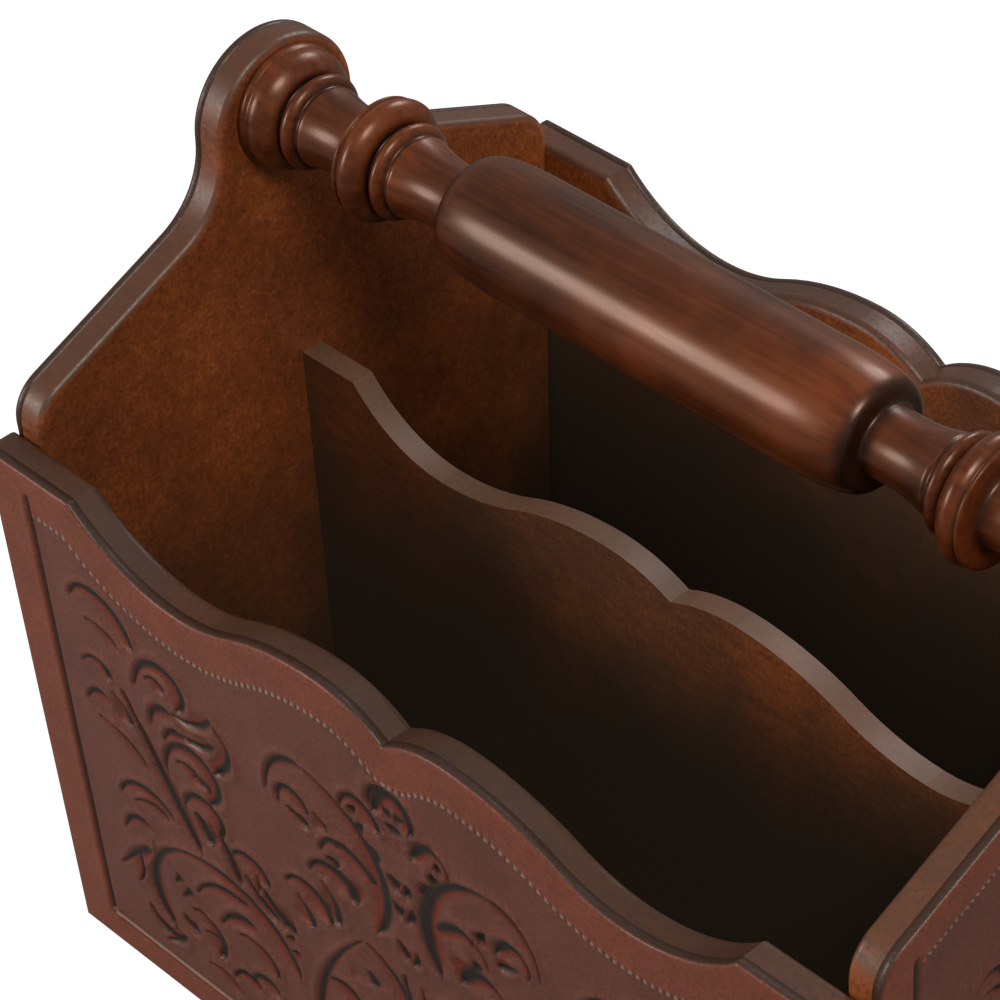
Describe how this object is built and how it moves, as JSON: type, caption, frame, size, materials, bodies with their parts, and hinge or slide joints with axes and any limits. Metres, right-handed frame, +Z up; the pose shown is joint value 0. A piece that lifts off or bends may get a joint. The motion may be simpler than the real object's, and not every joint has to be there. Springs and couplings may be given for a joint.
{
  "type": "magazine rack",
  "caption": "Open wooden magazine rack with tooled leather faces, a centre divider and a turned carrying handle between bell-shaped ends.",
  "frame": {"origin": "centre of the footprint, on the surface the rack stands on", "axes": "+X along the turned handle, -Y the front wall's outside, +Z up"},
  "size_m": [0.3682, 0.2494, 0.3119],
  "materials": {
    "stained_wood": "satin",
    "turned_wood": "satin",
    "tooled_leather": "satin",
    "steel_wire": "satin"
  },
  "bodies": {
    "root": {"left_end_panel": "stained_wood", "right_end_panel": "stained_wood", "front_panel": "stained_wood", "back_panel": "stained_wood", "bottom_board": "stained_wood", "divider": "stained_wood", "handle": "turned_wood", "front_leather": "tooled_leather", "back_leather": "tooled_leather", "left_end_leather": "tooled_leather", "right_end_leather": "tooled_leather", "front_nails": "steel_wire", "back_nails": "steel_wire", "end_nails": "steel_wire", "floor_nails": "steel_wire", "handle_screws": "steel_wire"}
  },
  "joints": []
}
